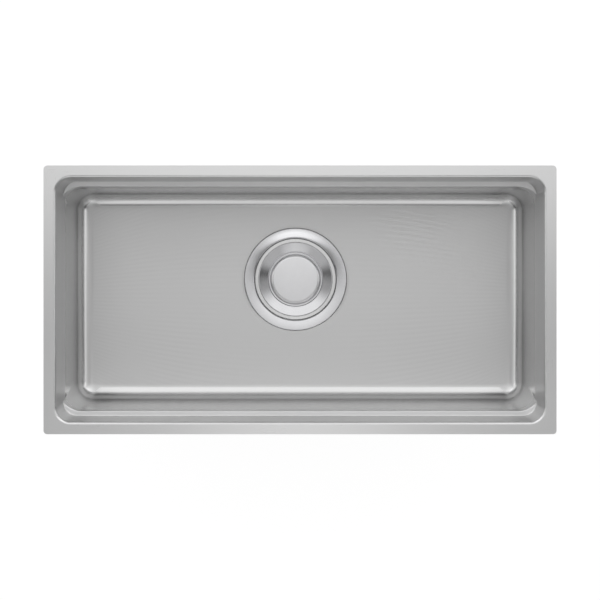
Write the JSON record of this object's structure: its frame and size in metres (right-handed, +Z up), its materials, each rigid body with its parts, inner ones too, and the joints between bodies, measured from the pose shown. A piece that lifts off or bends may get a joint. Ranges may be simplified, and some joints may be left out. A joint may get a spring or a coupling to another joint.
{
  "type": "kitchen sink",
  "caption": "Rectangular stainless kitchen sink bowl with a flat rim, stepped long walls, a coved floor and a large round waste with lift-out lid, strainer basket and bell trap.",
  "frame": {"origin": "centre of the bowl's mouth in the plane of the rim's top face, where the worktop meets it", "axes": "+X along the sink to the right, +Y to its back, +Z up out of the bowl"},
  "size_m": [0.84, 0.44, 0.391],
  "materials": {
    "bowl_steel": "satin stainless sheet, finely embossed on the bowl's floor",
    "polished_steel": "mirror-polished stainless sheet",
    "basket_steel": "bright stainless sheet",
    "body_plastic": "moulded grey polypropylene",
    "nut_plastic": "moulded black polypropylene",
    "trap_plastic": "moulded grey polypropylene",
    "pipe_plastic": "extruded pale grey polypropylene",
    "seal_rubber": "black rubber",
    "pad_rubber": "dark grey bitumen rubber"
  },
  "bodies": {
    "sink": {"sink_bowl": "bowl_steel", "pad_front": "pad_rubber", "pad_back": "pad_rubber", "pad_left": "pad_rubber", "pad_right": "pad_rubber", "pad_floor_left": "pad_rubber", "pad_floor_right": "pad_rubber", "waste_body": "body_plastic", "waste_trim": "polished_steel", "upper_gasket": "seal_rubber", "lower_gasket": "seal_rubber", "slip_ring": "body_plastic", "clamp_nut": "nut_plastic", "outlet_washer": "seal_rubber", "outlet_nut": "nut_plastic", "tail_pipe": "pipe_plastic"},
    "trap": {"trap_cup": "trap_plastic"},
    "basket": {"basket_rim": "basket_steel", "basket_cup": "basket_steel"},
    "lid": {"lid_dish": "polished_steel", "lid_knob": "polished_steel", "lid_nut": "basket_steel", "lid_feet": "seal_rubber"}
  },
  "joints": [
    {"name": "trap_lift", "type": "slide", "parent": "sink", "child": "trap", "axis": [0, 0, 1], "range_m": [0, 0.31]},
    {"name": "basket_lift", "type": "slide", "parent": "trap", "child": "basket", "axis": [0, 0, 1], "range_m": [0, 0.28]},
    {"name": "lid_lift", "type": "slide", "parent": "basket", "child": "lid", "axis": [0, 0, 1], "range_m": [0, 0.24]}
  ]
}
